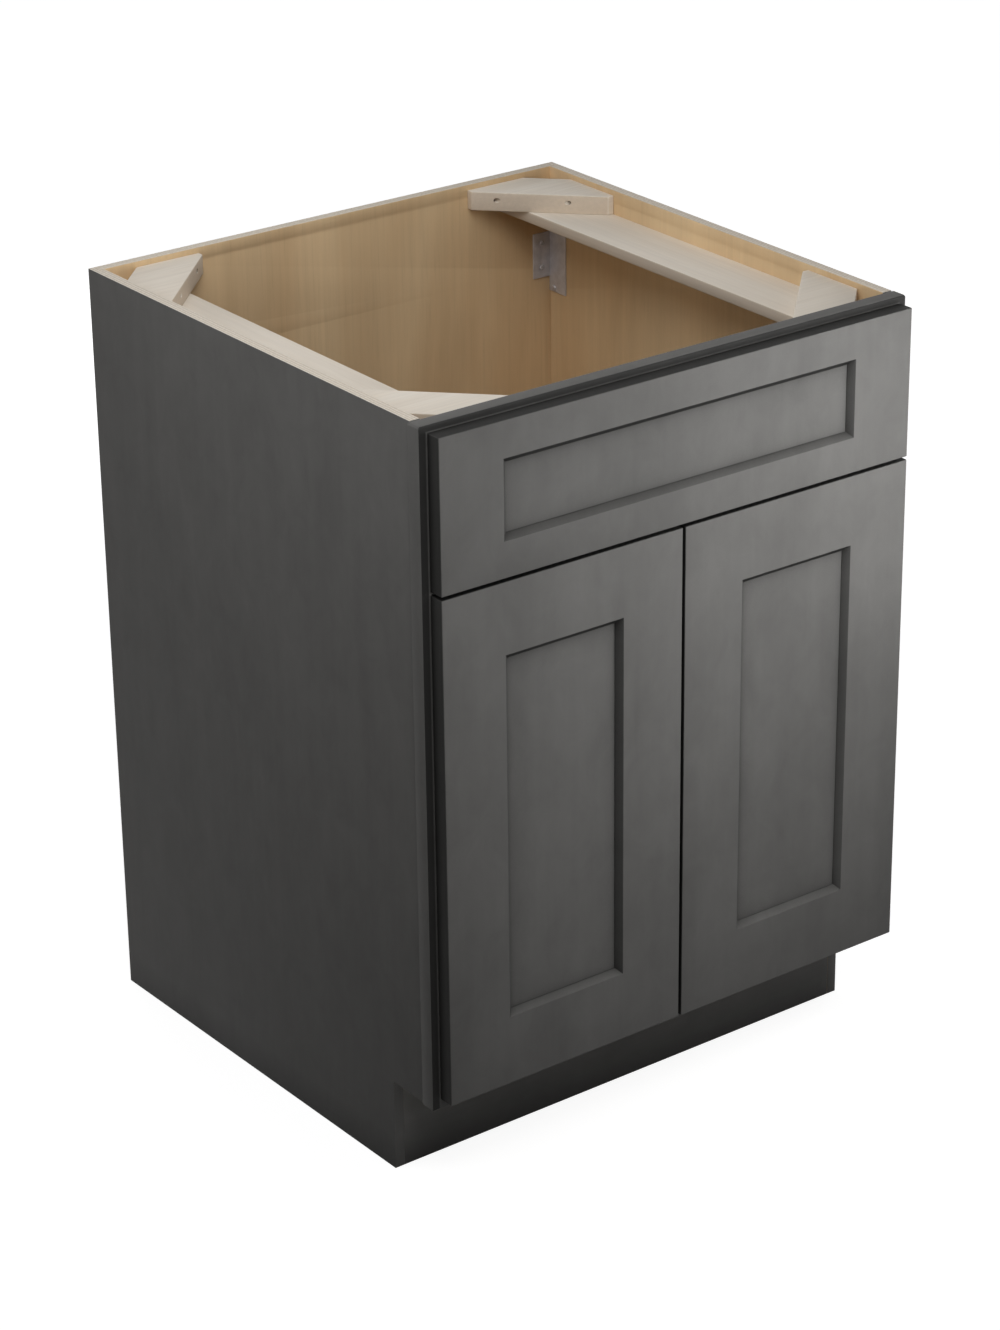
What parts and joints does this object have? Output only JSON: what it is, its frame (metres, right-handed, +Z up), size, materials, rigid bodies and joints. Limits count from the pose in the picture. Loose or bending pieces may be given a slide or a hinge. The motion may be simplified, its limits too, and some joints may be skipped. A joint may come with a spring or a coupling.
{
  "type": "vanity cabinet",
  "caption": "Free-standing bathroom vanity base cabinet, open at the top, with recessed-panel doors on concealed hinges under a fixed false front.",
  "frame": {"origin": "on the floor, under the middle of the cabinet's bounding box", "axes": "+Z up, -Y the way the doors face, +X to the right of someone facing the doors"},
  "size_m": [0.638, 0.6306, 0.876],
  "materials": {
    "painted_wood": "satin grey paint on solid wood",
    "painted_panel": "satin grey paint on a flat panel",
    "painted_plywood": "satin grey paint outside, raw inside",
    "raw_plywood": "clear-coated veneer plywood",
    "raw_wood": "sanded, uncoated",
    "zinc_steel": "zinc plated",
    "nickel_steel": "nickel plated",
    "bumper_rubber": "soft, half clear"
  },
  "bodies": {
    "cabinet": {"back_panel": "raw_plywood", "bottom_rail": "painted_wood", "bracket_screws": "zinc_steel", "corner_block_back_left": "raw_wood", "corner_block_back_right": "raw_wood", "corner_block_front_left": "raw_wood", "corner_block_front_right": "raw_wood", "corner_block_screws": "zinc_steel", "corner_bracket_left": "zinc_steel", "corner_bracket_right": "zinc_steel", "false_front_bottom_rail": "painted_wood", "false_front_clip_screws": "zinc_steel", "false_front_clips": "zinc_steel", "false_front_left_stile": "painted_wood", "false_front_pads": "bumper_rubber", "false_front_panel": "painted_panel", "false_front_right_stile": "painted_wood", "false_front_top_rail": "painted_wood", "floor_panel": "raw_plywood", "hinge_arm_pins": "nickel_steel", "hinge_arm_screws": "nickel_steel", "left_lower_hinge_arm": "nickel_steel", "left_side_panel": "painted_plywood", "left_stile": "painted_wood", "left_stretcher": "raw_wood", "left_upper_hinge_arm": "nickel_steel", "middle_rail": "painted_wood", "right_lower_hinge_arm": "nickel_steel", "right_side_panel": "painted_plywood", "right_stile": "painted_wood", "right_stretcher": "raw_wood", "right_upper_hinge_arm": "nickel_steel", "toe_kick_board": "painted_plywood", "top_rail": "painted_wood"},
    "left_door": {"left_door_bottom_rail": "painted_wood", "left_door_bumpers": "bumper_rubber", "left_door_hinge_stile": "painted_wood", "left_door_meeting_stile": "painted_wood", "left_door_panel": "painted_panel", "left_door_top_rail": "painted_wood", "left_hinge_cup_pins": "nickel_steel", "left_hinge_cup_screws": "nickel_steel", "left_lower_hinge_cup": "nickel_steel", "left_upper_hinge_cup": "nickel_steel"},
    "left_inner_links": {"left_hinge_inner_links": "nickel_steel"},
    "left_outer_links": {"left_hinge_outer_links": "nickel_steel"},
    "right_door": {"right_door_bottom_rail": "painted_wood", "right_door_bumpers": "bumper_rubber", "right_door_hinge_stile": "painted_wood", "right_door_meeting_stile": "painted_wood", "right_door_panel": "painted_panel", "right_door_top_rail": "painted_wood", "right_hinge_cup_pins": "nickel_steel", "right_hinge_cup_screws": "nickel_steel", "right_lower_hinge_cup": "nickel_steel", "right_upper_hinge_cup": "nickel_steel"},
    "right_inner_links": {"right_hinge_inner_links": "nickel_steel"},
    "right_outer_links": {"right_hinge_outer_links": "nickel_steel"}
  },
  "joints": [
    {"name": "left_outer_link_turn", "type": "hinge", "parent": "cabinet", "child": "left_outer_links", "pos_m": [-0.2769, -0.2847, 0.4085], "axis": [0, 0, -1], "range_deg": [-37, 0]},
    {"name": "left_door_swing", "type": "hinge", "parent": "left_outer_links", "child": "left_door", "pos_m": [-0.2995, -0.2987, 0.4085], "axis": [0, 0, -1], "range_deg": [0, 133.58]},
    {"name": "left_inner_link_turn", "type": "hinge", "parent": "cabinet", "child": "left_inner_links", "pos_m": [-0.2783, -0.305, 0.4085], "axis": [0, 0, -1], "range_deg": [-47.5, 0]},
    {"name": "right_outer_link_turn", "type": "hinge", "parent": "cabinet", "child": "right_outer_links", "pos_m": [0.2769, -0.2847, 0.4085], "axis": [0, 0, 1], "range_deg": [-37, 0]},
    {"name": "right_door_swing", "type": "hinge", "parent": "right_outer_links", "child": "right_door", "pos_m": [0.2995, -0.2987, 0.4085], "axis": [0, 0, 1], "range_deg": [0, 133.58]},
    {"name": "right_inner_link_turn", "type": "hinge", "parent": "cabinet", "child": "right_inner_links", "pos_m": [0.2783, -0.305, 0.4085], "axis": [0, 0, 1], "range_deg": [-47.5, 0]}
  ],
  "couplings": [
    {"joint": "left_outer_link_turn", "follows": "left_door_swing", "ratio": -0.27384},
    {"joint": "left_inner_link_turn", "follows": "left_door_swing", "ratio": -0.35219},
    {"joint": "right_outer_link_turn", "follows": "right_door_swing", "ratio": -0.27384},
    {"joint": "right_inner_link_turn", "follows": "right_door_swing", "ratio": -0.35219}
  ]
}
